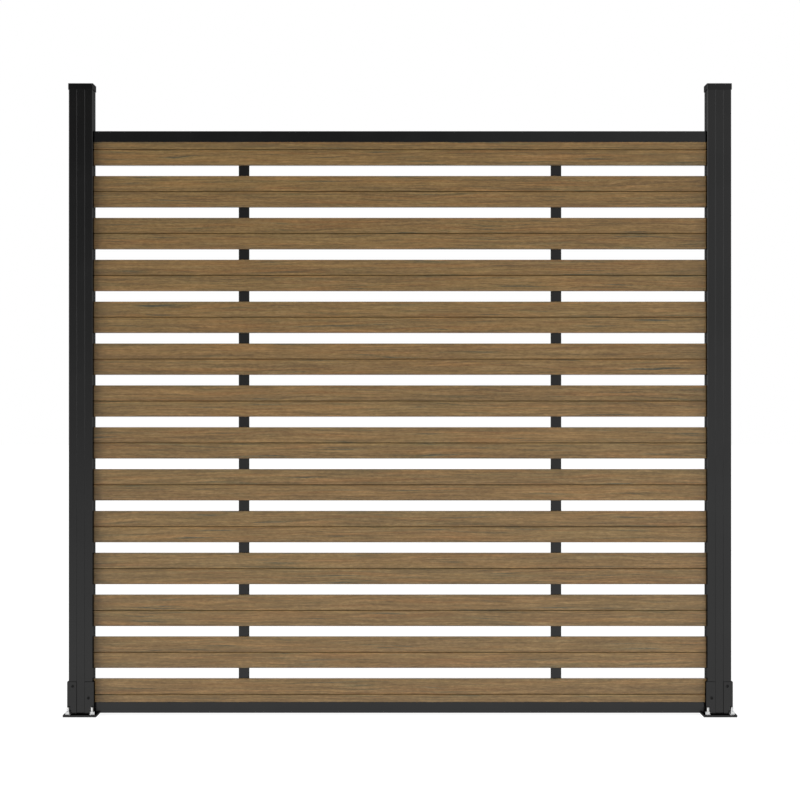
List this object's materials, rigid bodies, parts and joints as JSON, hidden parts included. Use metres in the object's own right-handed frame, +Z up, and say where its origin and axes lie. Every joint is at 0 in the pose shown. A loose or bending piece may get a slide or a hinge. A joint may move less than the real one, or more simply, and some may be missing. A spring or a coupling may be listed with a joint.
{
  "type": "garden privacy screen",
  "caption": "Free-standing privacy screen of horizontal wood composite slats between two square aluminium posts on bolted base shoes.",
  "frame": {"origin": "on the ground, midway between the two posts and in the middle of the slats' thickness", "axes": "+X along the slats to the right as seen from the front, -Y out of the front, +Z up"},
  "size_m": [1.918, 0.125, 1.806],
  "materials": {
    "coated_aluminium": "matt anthracite powder coat",
    "coated_steel": "matt anthracite powder coat on welded steel",
    "wood_composite": "brushed wood composite, mid brown with fine streaks",
    "zinc_fasteners": "bright zinc plate",
    "black_plastic": "matt"
  },
  "bodies": {
    "root": {"left_post": "coated_aluminium", "left_post_cap": "black_plastic", "left_front_cover_strip": "coated_aluminium", "left_rear_cover_strip": "coated_aluminium", "left_outer_cover_strip": "coated_aluminium", "left_inner_filler_strip": "coated_aluminium", "left_base_shoe": "coated_steel", "left_anchor_studs": "zinc_fasteners", "left_anchor_washers": "zinc_fasteners", "left_anchor_nuts": "zinc_fasteners", "left_mid_spacers": "coated_aluminium", "left_end_spacers": "black_plastic", "right_post": "coated_aluminium", "right_post_cap": "black_plastic", "right_front_cover_strip": "coated_aluminium", "right_rear_cover_strip": "coated_aluminium", "right_outer_cover_strip": "coated_aluminium", "right_inner_filler_strip": "coated_aluminium", "right_base_shoe": "coated_steel", "right_anchor_studs": "zinc_fasteners", "right_anchor_washers": "zinc_fasteners", "right_anchor_nuts": "zinc_fasteners", "right_mid_spacers": "coated_aluminium", "right_end_spacers": "black_plastic", "bottom_rail": "coated_aluminium", "top_rail": "coated_aluminium", "slat_01": "wood_composite", "slat_02": "wood_composite", "slat_03": "wood_composite", "slat_04": "wood_composite", "slat_05": "wood_composite", "slat_06": "wood_composite", "slat_07": "wood_composite", "slat_08": "wood_composite", "slat_09": "wood_composite", "slat_10": "wood_composite", "slat_11": "wood_composite", "slat_12": "wood_composite", "slat_13": "wood_composite", "slat_14": "wood_composite"}
  },
  "joints": []
}
